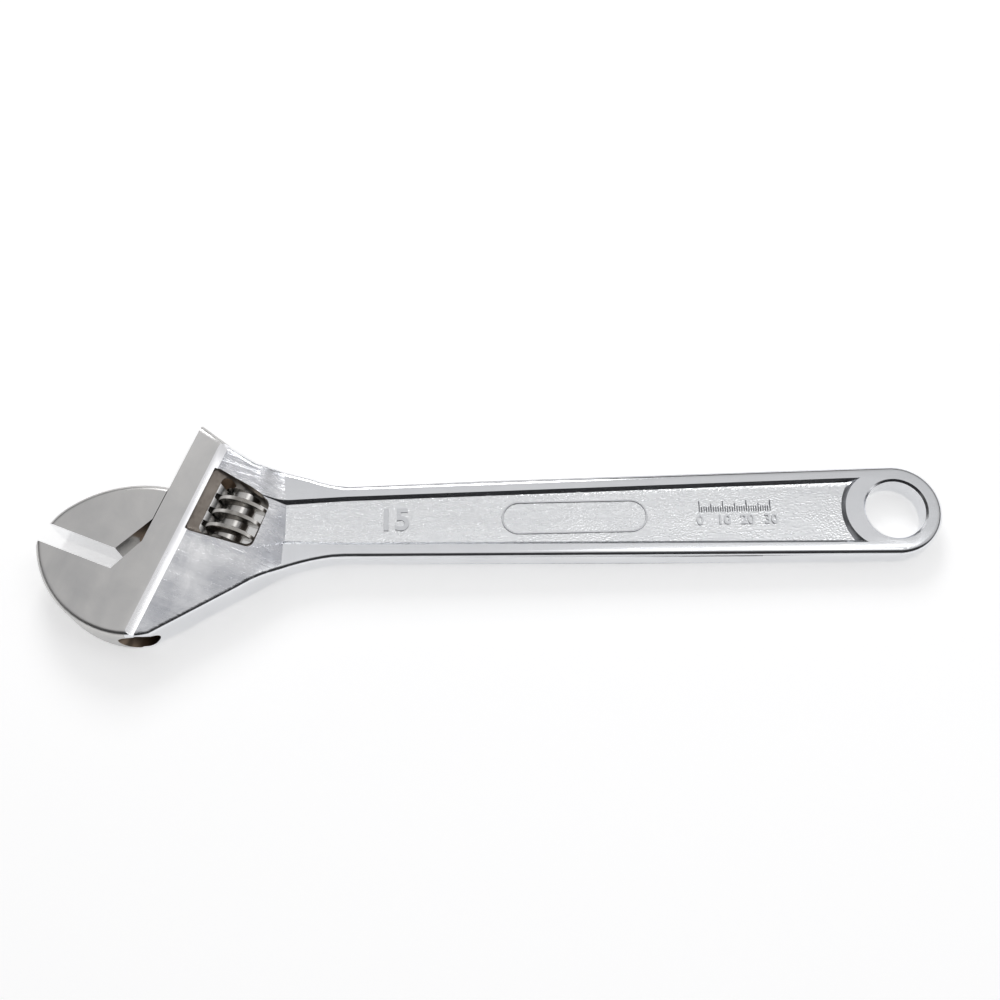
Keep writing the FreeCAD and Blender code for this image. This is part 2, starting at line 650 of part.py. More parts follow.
def make_spring():
    """Coil spring round the pin, between the worm and the window's upper wall."""
    wire, radius = value("wire_diameter / 2"), value("spring_diameter / 2")
    wall = value("window_top - side_flare - top_fall * (shank_axis + worm_gap"
                 " + spring_diameter / 2 + wire_diameter - window_front)")
    seat = value("worm_base + worm_length * 2 / 3")
    height = wall - seat - 2 * (wire + value("spring_clearance"))
    helix = Part.makeHelix(height / value("spring_turns"), height, radius)
    ring = Part.Wire(Part.makeCircle(wire, FreeCAD.Vector(radius, 0, 0), FreeCAD.Vector(0, 1, 0)))
    made = doc.addObject("Part::Feature", "worm_spring")
    made.Label = "worm_spring"
    made.Shape = Part.Wire(helix.Edges).makePipeShell([ring], True, True)
    return at_worm(made, "worm_base + worm_length * 2 / 3 + wire_diameter / 2 + spring_clearance")


def check_and_write(pieces):
    """Refuse to write anything unless every object and every piece is sound."""
    doc.recompute()
    for obj in doc.Objects:
        bad = {"Invalid", "Error"} & set(obj.State)
        assert not bad, f"{obj.Name}: {obj.State}"
    for piece in pieces:
        shape = piece.Shape
        assert not shape.isNull() and shape.isValid(), f"{piece.Label}: bad shape"
        assert len(shape.Solids) == 1, f"{piece.Label}: {len(shape.Solids)} solids"
    os.makedirs("parts", exist_ok=True)
    for piece in pieces:
        piece.Shape.exportStep(f"parts/{piece.Label}.step")
        box = piece.Shape.BoundBox
        print(f"{piece.Label}: {piece.Shape.Volume:.0f} mm3, X {box.XMin:.1f} {box.XMax:.1f}, "
              f"Y {box.YMin:.1f} {box.YMax:.1f}, Z {box.ZMin:.1f} {box.ZMax:.1f}")


check_and_write([make_wrench_body(), make_movable_jaw(), make_worm(), make_pin(), make_spring()])
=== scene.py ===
"""Looks of a 15 inch adjustable wrench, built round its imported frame.

Places are in millimetres of the object's own frame (origin at the hang hole,
+X along the handle, +Y towards the movable jaw, +Z square to the broad faces)
and are turned to metres where a mesh is made.
"""
from __future__ import annotations

import json
import logging
import math
from collections.abc import Callable
from dataclasses import dataclass, field
from enum import Enum

import bmesh
import bpy
from mathutils import Matrix, Vector

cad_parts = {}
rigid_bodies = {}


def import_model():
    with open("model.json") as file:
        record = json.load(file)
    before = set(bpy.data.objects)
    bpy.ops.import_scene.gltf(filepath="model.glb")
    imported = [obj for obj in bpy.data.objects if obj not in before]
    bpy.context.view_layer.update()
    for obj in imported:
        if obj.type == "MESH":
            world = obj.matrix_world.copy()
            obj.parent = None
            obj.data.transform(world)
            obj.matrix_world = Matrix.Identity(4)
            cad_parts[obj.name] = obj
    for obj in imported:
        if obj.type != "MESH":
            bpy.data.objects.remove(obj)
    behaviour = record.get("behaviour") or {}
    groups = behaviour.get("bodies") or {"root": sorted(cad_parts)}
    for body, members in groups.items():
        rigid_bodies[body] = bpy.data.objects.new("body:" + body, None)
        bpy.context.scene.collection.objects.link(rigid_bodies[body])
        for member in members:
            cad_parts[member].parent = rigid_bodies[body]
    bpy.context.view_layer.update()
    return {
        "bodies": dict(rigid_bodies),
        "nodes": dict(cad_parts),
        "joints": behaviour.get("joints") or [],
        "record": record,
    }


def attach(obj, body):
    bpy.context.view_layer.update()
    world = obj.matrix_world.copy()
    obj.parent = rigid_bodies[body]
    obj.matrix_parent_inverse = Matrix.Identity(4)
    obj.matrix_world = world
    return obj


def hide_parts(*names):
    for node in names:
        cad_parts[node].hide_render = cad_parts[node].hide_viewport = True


log = logging.getLogger("wrench")
MM = 0.001
SHARP = math.radians(28)  # a steeper edge stays hard
EDGE_BREAK = math.radians(32)  # a steeper edge gets a small rounding
FLAT = math.radians(0.4)  # faces that differ by less are joined
MERGE = 2e-6  # closer points are one, in metres
LEVEL = 0.985  # upright part of a level face's normal
FLUSH = 0.99  # share of a normal that points squarely one way
Colour = tuple[float, float, float]


class Grain(Enum):
    """Direction of a finish's fine marks, as a turn about Z in degrees."""

    HANDLE = 0.0
    GRIP = 22.5
    GUIDE = -67.5


class Skin(Enum):
    """How the surface under the plating was left."""

    GROUND = "ground"
    PEENED = "peened"
    CAST = "cast"


COARSE = {Skin.PEENED: 0.35, Skin.CAST: 2.2}  # grit beside the hollows


# --------------------------------------------------------------------- shading


class NodeBook:
    """Small helper that adds and links nodes of one tree."""

    def __init__(self, tree: bpy.types.NodeTree) -> None:
        """Keep the tree that the nodes go to."""
        self.tree = tree

    def add(self, kind: str, inputs: dict | None = None, **settings: object) -> bpy.types.Node:
        """Add a node, set its properties and fill its inputs.

        Args:
            kind: The node's type name.
            inputs: Socket name or number to a value or an output socket.
            settings: Properties of the node itself.

        Returns:
            The new node.
        """
        node = self.tree.nodes.new(kind)
        for name, setting in settings.items():
            setattr(node, name, setting)
        for name, given in (inputs or {}).items():
            if isinstance(given, bpy.types.NodeSocket):
                self.tree.links.new(given, node.inputs[name])
            else:
                node.inputs[name].default_value = given
        return node

    def math(self, operation: str, first: object, second: object = 0.0) -> bpy.types.NodeSocket:
        """Output of a Math node over two values or sockets."""
        return self.add("ShaderNodeMath", {0: first, 1: second}, operation=operation).outputs[0]

    def spread(self, value: object, low: float, high: float,
               to_low: float = 0.0, to_high: float = 1.0) -> bpy.types.NodeSocket:
        """Output of a Map Range node that stretches low..high to a new range."""
        names = {"Value": value, "From Min": low, "From Max": high,
                 "To Min": to_low, "To Max": to_high}
        return self.add("ShaderNodeMapRange", names).outputs["Result"]

    def blend(self, mask: object, first: object, second: object) -> bpy.types.NodeSocket:
        """Output of a colour Mix node."""
        node = self.add("ShaderNodeMix", data_type="RGBA")
        for socket, given in ((node.inputs[0], mask), (node.inputs[6], first), (node.inputs[7], second)):
            if isinstance(given, bpy.types.NodeSocket):
                self.tree.links.new(given, socket)
            else:
                socket.default_value = given
        return node.outputs[2]


def new_group(name: str, inputs: dict[str, float], outputs: list[str]
              ) -> tuple[bpy.types.NodeTree, NodeBook, bpy.types.Node, bpy.types.Node]:
    """Start a shader node group.

    Args:
        name: The group's name.
        inputs: Float inputs and their defaults. A Vector input is always added.
        outputs: Names of the float outputs.

    Returns:
        The tree, its NodeBook, and its input and output nodes.
    """
    tree = bpy.data.node_groups.new(name, "ShaderNodeTree")
    tree.interface.new_socket(name="Vector", in_out="INPUT", socket_type="NodeSocketVector")
    for socket_name, default in inputs.items():
        socket = tree.interface.new_socket(name=socket_name, in_out="INPUT", socket_type="NodeSocketFloat")
        socket.default_value = default
    for socket_name in outputs:
        tree.interface.new_socket(name=socket_name, in_out="OUTPUT", socket_type="NodeSocketFloat")
    book = NodeBook(tree)
    return tree, book, book.add("NodeGroupInput"), book.add("NodeGroupOutput")


def brushed_grain() -> bpy.types.NodeTree:
    """Group of fine parallel marks along the vector's X."""
    tree, book, given, out = new_group(
        "brushed_grain", {"Scale": 900.0, "Length": 14.0}, ["Marks", "Wide marks"])
    parts = book.add("ShaderNodeSeparateXYZ", {0: given.outputs["Vector"]})
    squeezed = book.math("DIVIDE", parts.outputs[0], given.outputs["Length"])
    lines = book.add("ShaderNodeCombineXYZ", {0: squeezed, 1: parts.outputs[1], 2: parts.outputs[2]})
    for label, share, detail in (("Marks", 1.0, 6.0), ("Wide marks", 0.22, 3.0)):
        scale = book.math("MULTIPLY", given.outputs["Scale"], share)
        noise = book.add("ShaderNodeTexNoise", {
            "Vector": lines.outputs[0], "Scale": scale, "Detail": detail, "Roughness": 0.62})
        book.tree.links.new(book.spread(noise.outputs["Fac"], 0.3, 0.7), out.inputs[label])
    return tree


def plate_mottle() -> bpy.types.NodeTree:
    """Group of the soft cloudiness of plating over a forging, with sparse specks."""
    tree, book, given, out = new_group("plate_mottle", {"Scale": 60.0}, ["Cloud", "Specks"])
    cloud = book.add("ShaderNodeTexNoise", {
        "Vector": given.outputs["Vector"], "Scale": given.outputs["Scale"],
        "Detail": 5.0, "Roughness": 0.55, "Distortion": 0.4})
    book.tree.links.new(book.spread(cloud.outputs["Fac"], 0.3, 0.72), out.inputs["Cloud"])
    fine = book.math("MULTIPLY", given.outputs["Scale"], 9.0)
    cells = book.add("ShaderNodeTexVoronoi", {"Vector": given.outputs["Vector"], "Scale": fine})
    specks = book.spread(cells.outputs["Distance"], 0.16, 0.05)
    rare = book.add("ShaderNodeSeparateColor", {0: cells.outputs["Color"]})
    chosen = book.math("GREATER_THAN", rare.outputs[0], 0.82)
    book.tree.links.new(book.math("MULTIPLY", specks, chosen), out.inputs["Specks"])
    return tree


def skin_relief() -> bpy.types.NodeTree:
    """Group of the small hollows that peening or a mould leaves."""
    tree, book, given, out = new_group(
        "skin_relief", {"Scale": 1500.0, "Coarse": 0.3}, ["Height", "Sparkle"])
    vector, scale = given.outputs["Vector"], given.outputs["Scale"]
    dents = book.add("ShaderNodeTexVoronoi", {"Vector": vector, "Scale": scale}, feature="SMOOTH_F1")
    grit = book.add("ShaderNodeTexNoise", {"Vector": vector, "Scale": book.math("MULTIPLY", scale, 0.35),
                                           "Detail": 4.0, "Roughness": 0.7})
    rough = book.math("MULTIPLY", grit.outputs["Fac"], given.outputs["Coarse"])
    book.tree.links.new(book.math("ADD", dents.outputs["Distance"], rough), out.inputs["Height"])
    tint = book.add("ShaderNodeSeparateColor", {0: dents.outputs["Color"]})
    book.tree.links.new(book.spread(tint.outputs[0], 0.45, 1.0), out.inputs["Sparkle"])
    return tree


@dataclass(frozen=True)
class SteelFinish:
    """One finish of plated or bare steel; some are darker copies that stand for painted shade."""

    name: str
    colour: Colour
    tarnish: Colour
    roughness: float
    rough_spread: float = 0.06
    grain: Grain = Grain.HANDLE
    grain_depth: float = 0.02
    grain_scale: float = 900.0
    skin: Skin = Skin.GROUND
    skin_depth: float = 0.0
    skin_scale: float = 1500.0
    cloud_scale: float = 60.0
    cloud: float = 0.35
    streaks: float = 0.14

    def make(self) -> bpy.types.Material:
        """Build the finish's material."""
        material = bpy.data.materials.new(self.name)
        material.use_nodes = True
        book = NodeBook(material.node_tree)
        shader = material.node_tree.nodes["Principled BSDF"]
        place = book.add("ShaderNodeTexCoord").outputs["Object"]
        turned = book.add("ShaderNodeMapping", {"Vector": place,
                                                "Rotation": (0, 0, math.radians(self.grain.value))})
        vector = turned.outputs[0]
        groups = bpy.data.node_groups
        marks = book.add("ShaderNodeGroup", node_tree=groups["brushed_grain"])
        mottle = book.add("ShaderNodeGroup", node_tree=groups["plate_mottle"])
        for node, scale in ((marks, self.grain_scale), (mottle, self.cloud_scale)):
            book.tree.links.new(vector, node.inputs["Vector"])
            node.inputs["Scale"].default_value = scale
        stain = book.math("MULTIPLY", mottle.outputs["Cloud"], self.cloud)
        stain = book.math("MAXIMUM", stain, book.math("MULTIPLY", mottle.outputs["Specks"], 0.5))
        stain = book.math("ADD", stain, book.math("MULTIPLY", marks.outputs["Wide marks"], self.streaks))
        colour = book.blend(stain, (*self.colour, 1), (*self.tarnish, 1))
        rough = book.math("ADD", book.math("MULTIPLY", mottle.outputs["Cloud"], 0.6),
                          book.math("MULTIPLY", marks.outputs["Marks"], 0.5))
        height = book.math("MULTIPLY", marks.outputs["Marks"], self.grain_depth)
        if self.skin is not Skin.GROUND:
            relief = book.add("ShaderNodeGroup", {"Vector": place, "Scale": self.skin_scale,
                                                  "Coarse": COARSE[self.skin]},
                              node_tree=groups["skin_relief"])
            hollows = book.math("MULTIPLY", relief.outputs["Height"], self.skin_depth)
            height = book.math("ADD", height, hollows)
            glint = book.math("MULTIPLY", relief.outputs["Sparkle"], 0.3)
            colour = book.blend(glint, colour, (*self.tarnish, 1))
        bump = book.add("ShaderNodeBump", {"Height": height, "Distance": MM, "Strength": 1.0})
        book.tree.links.new(colour, shader.inputs["Base Color"])
        roughest = self.roughness + self.rough_spread
        book.tree.links.new(book.spread(rough, 0.0, 1.1, self.roughness, roughest),
                            shader.inputs["Roughness"])
        book.tree.links.new(bump.outputs[0], shader.inputs["Normal"])
        shader.inputs["Metallic"].default_value = 1.0
        return material


JAW = SteelFinish("jaw_satin", (0.63, 0.62, 0.605), (0.44, 0.44, 0.445), 0.26, 0.10,
                  Grain.GUIDE, 0.020, 500.0, cloud=0.55)
BAND = SteelFinish("band_bright", (0.86, 0.86, 0.87), (0.66, 0.66, 0.68), 0.24, 0.08,
                   Grain.GUIDE, 0.012, cloud=0.5)
HEAD = SteelFinish("head_brushed", (0.92, 0.92, 0.93), (0.44, 0.45, 0.48), 0.20, 0.12,
                   Grain.GRIP, 0.13, 380.0, cloud=0.8, streaks=0.55)
HANDLE = SteelFinish("handle_chrome", (0.84, 0.85, 0.87), (0.68, 0.69, 0.71), 0.10, 0.07,
                     Grain.HANDLE, 0.006)
FLOOR = SteelFinish("recess_peened", (0.84, 0.85, 0.86), (0.56, 0.57, 0.59), 0.22, 0.10,
                    Grain.HANDLE, 0.004, skin=Skin.PEENED, skin_depth=0.11, skin_scale=1400.0,
                    cloud=0.25)
# Recess walls: painted shade, the handle's steel darkened where the walls fall into shade.
WALL_SHADE = SteelFinish("recess_wall_shade", (0.42, 0.43, 0.45), (0.25, 0.26, 0.28), 0.22, 0.08,
                   Grain.HANDLE, 0.01)
FACE = SteelFinish("gripping_face", (0.90, 0.90, 0.91), (0.78, 0.79, 0.80), 0.12, 0.06,
                   Grain.HANDLE, 0.012)
CASTING = SteelFinish("window_casting", (0.30, 0.27, 0.24), (0.12, 0.10, 0.085), 0.34, 0.16,
                      Grain.GUIDE, 0.01, skin=Skin.CAST, skin_depth=0.10, skin_scale=620.0,
                      cloud=0.7)
# Bore and slot: dark brown painted shade for steel seen deep inside the head.
BORE_SHADE = SteelFinish("bore_shade", (0.34, 0.27, 0.21), (0.13, 0.095, 0.07), 0.28, 0.16,
                   Grain.GUIDE, 0.03, 420.0, cloud=0.8)
RACK = SteelFinish("rack_steel", (0.72, 0.72, 0.72), (0.34, 0.32, 0.30), 0.18, 0.12,
                   Grain.GUIDE, 0.02, cloud=0.6)
# Rack grooves: painted shade, the rack's steel darkened in the grooves between its teeth.
GROOVE_SHADE = SteelFinish("groove_shade", (0.30, 0.29, 0.27), (0.12, 0.11, 0.10), 0.30, 0.14,
                     Grain.GUIDE, 0.03, cloud=0.7)
WORM = SteelFinish("worm_steel", (0.60, 0.59, 0.57), (0.30, 0.28, 0.26), 0.17, 0.12,
                   Grain.GRIP, 0.02, 520.0, cloud=0.55)
KNURL = SteelFinish("knurl_steel", (0.62, 0.61, 0.59), (0.26, 0.24, 0.22), 0.26, 0.12,
                    Grain.GUIDE, 0.01, cloud=0.8)
PIN = SteelFinish("pin_steel", (0.58, 0.58, 0.58), (0.30, 0.29, 0.28), 0.24, 0.12,
                  Grain.GRIP, 0.02, cloud=0.6)
WIRE = SteelFinish("spring_steel", (0.50, 0.50, 0.50), (0.24, 0.23, 0.22), 0.26, 0.1,
                   Grain.GUIDE, 0.01, cloud=0.6)
MARK = SteelFinish("mark_top", (0.74, 0.75, 0.77), (0.56, 0.57, 0.59), 0.20, 0.1,
                   Grain.HANDLE, 0.006, skin=Skin.PEENED, skin_depth=0.03, skin_scale=1500.0)
# Sides of the raised marks: painted shade, dark outlines round the pale tops.
MARK_SIDE_SHADE = SteelFinish("mark_side_shade", (0.13, 0.135, 0.15), (0.07, 0.07, 0.08), 0.35, 0.1,
                        Grain.HANDLE, 0.004)
RIM = SteelFinish("rim_polished", (0.92, 0.92, 0.93), (0.80, 0.80, 0.82), 0.14, 0.05,
                  Grain.HANDLE, 0.002)


class Finishes:
    """The materials, made once each when they are first asked for."""

    def __init__(self) -> None:
        """Build the shared groups."""
        for build in (brushed_grain, plate_mottle, skin_relief):
            build()
        self.made: dict[str, bpy.types.Material] = {}

    def get(self, finish: SteelFinish) -> bpy.types.Material:
        """Material of a finish."""
        if finish.name not in self.made:
            self.made[finish.name] = finish.make()
        return self.made[finish.name]


# --------------------------------------------------------------------- meshes


@dataclass(frozen=True)
class JawFrame:
    """The head's own frame: along the gripping face, and in the opening direction."""

    x: float = -322.3
    y: float = -23.0
    turn: float = 22.5

    @property
    def along(self) -> Vector:
        """Unit vector from the jaws' tips to the handle."""
        return Vector((math.cos(math.radians(self.turn)), -math.sin(math.radians(self.turn)), 0))

    @property
    def up(self) -> Vector:
        """Unit vector in which the movable jaw opens."""
        return Vector((math.sin(math.radians(self.turn)), math.cos(math.radians(self.turn)), 0))

    def point(self, along: float, up: float, height: float = 0.0) -> Vector:
        """Object frame point, in millimetres."""
        return Vector((self.x, self.y, height)) + self.along * along + self.up * up

    def local(self, place: Vector) -> tuple[float, float]:
        """Distances along and up of an object frame point."""
        gap = place - Vector((self.x, self.y, 0))
        return gap.dot(self.along), gap.dot(self.up)


HEAD_FRAME = JawFrame()


def smooth_copy(node: bpy.types.Object, name: str, body: str) -> bpy.types.Object:
    """Merged and smooth copy that stands for a CAD node.

    Args:
        node: The CAD node's object.
        name: The new piece's name.
        body: Body that the piece rides on.

    Returns:
        The new object, with flat areas joined to single faces.
    """
    mesh = node.data.copy()
    mesh.name = name
    mesh.materials.clear()
    form = bmesh.new()
    form.from_mesh(mesh)
    bmesh.ops.remove_doubles(form, verts=form.verts, dist=MERGE)
    bmesh.ops.dissolve_limit(form, angle_limit=FLAT, verts=form.verts, edges=form.edges)
    form.to_mesh(mesh)
    form.free()
    for layer in list(mesh.attributes):
        if layer.name == "custom_normal":
            mesh.attributes.remove(layer)
    mesh.shade_smooth()
    mesh.set_sharp_from_angle(angle=SHARP)
    piece = new_piece(name, mesh, body)
    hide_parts(node.name)
    return piece


def dress(piece: bpy.types.Object, finishes: Finishes, order: list[SteelFinish],
          choose: Callable[[Vector, Vector], SteelFinish]) -> None:
    """Give each face of a piece its finish.

    Args:
        piece: The object to dress.
        finishes: Where the materials come from.
        order: The finishes, in the order of the piece's slots.
        choose: Function from a face's centre (millimetres) and normal to a finish.
    """
    for finish in order:
        piece.data.materials.append(finishes.get(finish))
    for face in piece.data.polygons:
        face.material_index = order.index(choose(face.center / MM, face.normal))


def bevelled(piece: bpy.types.Object, width: float, finishes: Finishes, finish: SteelFinish) -> None:
    """Break a piece's sharp edges with a small rounding of its own finish."""
    piece.data.materials.append(finishes.get(finish))
    rounding = piece.modifiers.new("edge_break", "BEVEL")
    rounding.width = width * MM
    rounding.segments = 2
    rounding.limit_method = "ANGLE"
    rounding.angle_limit = EDGE_BREAK
    rounding.use_clamp_overlap = True
    rounding.harden_normals = True
    rounding.material = len(piece.data.materials) - 1


def new_piece(name: str, mesh: bpy.types.Mesh, body: str) -> bpy.types.Object:
    """Add an object for a mesh and let it ride on a body."""
    piece = bpy.data.objects.new(name, mesh)
    bpy.context.scene.collection.objects.link(piece)
    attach(piece, body)
    return piece


class GeometryTree:
    """Geometry Nodes tree under construction, with named inputs for its sizes."""

    def __init__(self, name: str) -> None:
        """Start the tree with its geometry output and its material input."""
        self.tree = bpy.data.node_groups.new(name, "GeometryNodeTree")
        self.tree.interface.new_socket(name="Geometry", in_out="OUTPUT", socket_type="NodeSocketGeometry")
        self.book = NodeBook(self.tree)
        self.given = self.book.add("NodeGroupInput")
        self.out = self.book.add("NodeGroupOutput")
        self.values: dict[str, object] = {}
        self.identifiers: dict[str, str] = {}

    def size(self, name: str, value: float | int) -> bpy.types.NodeSocket:
        """Add a named number input and return its socket inside the tree."""
        kind = "NodeSocketInt" if isinstance(value, int) else "NodeSocketFloat"
        return self._input(name, kind, value)

    def material(self, value: bpy.types.Material) -> bpy.types.NodeSocket:
        """Add the material input and return its socket inside the tree."""
        return self._input("Material", "NodeSocketMaterial", value)

    def _input(self, name: str, kind: str, value: object) -> bpy.types.NodeSocket:
        """Add an input of any kind and remember its value."""
        socket = self.tree.interface.new_socket(name=name, in_out="INPUT", socket_type=kind)
        self.values[name] = value
        self.identifiers[name] = socket.identifier
        return self.given.outputs[name]

    def mesh(self, name: str, geometry: bpy.types.NodeSocket, place: Matrix) -> bpy.types.Mesh:
        """Close the tree, run it on a helper object and keep the plain mesh.

        Args:
            name: The mesh's name.
            geometry: Output socket with the instances.
            place: Where the tree's own frame sits on the object, in metres.

        Returns:
            The mesh, at its place.
        """
        real = self.book.add("GeometryNodeRealizeInstances", {"Geometry": geometry})
        dressed = self.book.add("GeometryNodeSetMaterial", {"Geometry": real.outputs[0],
                                                            "Material": self.given.outputs["Material"]})
        self.tree.links.new(dressed.outputs[0], self.out.inputs[0])
        helper = bpy.data.objects.new(name, bpy.data.meshes.new(name))
        bpy.context.scene.collection.objects.link(helper)
        modifier = helper.modifiers.new(name, "NODES")
        modifier.node_group = self.tree
        for label, value in self.values.items():
            modifier[self.identifiers[label]] = value
        graph = bpy.context.evaluated_depsgraph_get()
        made = bpy.data.meshes.new_from_object(helper.evaluated_get(graph))
        helper.modifiers.remove(modifier)
        bpy.data.objects.remove(helper)
        made.transform(place)
        made.name = name
        return made


# --------------------------------------------------------------------- head and handle


@dataclass
class Head:
    """Fixed jaw, head, neck and handle: one forging with several finishes, and painted shade on its recess
    walls, bore and slot.
    """

    rear: float = 8.9
    floor: float = 4.6
    rail: float = 6.1
    band: tuple[float, float] = (10.9, 14.7)
    window: tuple[float, float, float, float] = (12.4, 43.4, 25.5, 58.0)
    shank_axis: float = 14.5
    bore: float = 7.6
    pin_axis: float = 29.0
    pin_bore: float = 4.3
    web_half: float = 3.9
    touch: float = 0.05
    web_touch: float = 0.06
    rail_touch: float = 0.02
    band_slope: tuple[float, float] = (0.88, 0.94)
    bore_slope: float = 0.5
    front_run: float = 6.5
    front_slope: float = 0.97
    window_slope: float = 0.9
    wall_slope: tuple[float, float] = (0.3, 0.9)
    jaw_end: float = -260.0
    recess_start: float = -262.0
    recess_half: float = 15.6
    ring_reach: float = 20.5
    head_rise: float = 0.2
    head_slope: float = 0.8
    order: list[SteelFinish] = field(default_factory=lambda: [
        HANDLE, JAW, BAND, HEAD, FLOOR, WALL_SHADE, FACE, CASTING, BORE_SHADE])

    def finish_at(self, place: Vector, normal: Vector) -> SteelFinish:
        """Finish of a face.

        Args:
            place: The face's centre in millimetres.
            normal: Its unit normal.

        Returns:
            The finish that the face gets.
        """
        along, up = HEAD_FRAME.local(place)
        height, upright = abs(place.z), abs(normal.z)
        upward = normal.dot(HEAD_FRAME.up)
        first, last, low, high = self.window
        in_window = first < along < last and low < up < high
        from_shank = math.hypot(along - self.shank_axis, place.z)
        # Bore, pin hole and the slot beside the web get the dark painted shade.
        if from_shank < self.bore and abs(upward) < self.bore_slope:
            return BORE_SHADE
        if math.hypot(along - self.pin_axis, place.z) < self.pin_bore and not in_window:
            return BORE_SHADE
        by_web = abs(height - self.web_half) < self.web_touch and along < self.shank_axis
        if by_web and upright > LEVEL:
            return BORE_SHADE
        by_band = self.band[0] < along < self.band[1] and height > self.rear - self.touch
        if by_band and self.band_slope[0] < upright < self.band_slope[1]:
            return BAND
        front_wall = along < first + self.front_run and upright < self.front_slope
        if in_window and (front_wall or upright < self.window_slope):
            return CASTING
        if abs(up) < self.touch and along < 0 and upward > FLUSH:
            return FACE
        if along < self.band[0] and place.x < self.jaw_end:
            return JAW
        if upright > LEVEL and abs(height - self.floor) < self.touch:
            return FLOOR
        beyond_ring = (place.x > self.recess_start and abs(place.y) < self.recess_half
                       and math.hypot(place.x, place.y) > self.ring_reach)
        # The recess walls get the dark painted shade.
        by_wall = beyond_ring and self.floor < height < self.rail + self.rail_touch
        if by_wall and self.wall_slope[0] < upright < self.wall_slope[1]:
            return WALL_SHADE
        if height > self.rail + self.head_rise and upright > self.head_slope:
            return HEAD
        return HANDLE

    def build(self, frame: dict, finishes: Finishes) -> None:
        """Build the forging from the CAD node."""
        piece = smooth_copy(frame["nodes"]["wrench_body"], "forged_body", "wrench")
        dress(piece, finishes, self.order, self.finish_at)
        bevelled(piece, 0.16, finishes, RIM)
        log.info("forged_body: %d faces", len(piece.data.polygons))


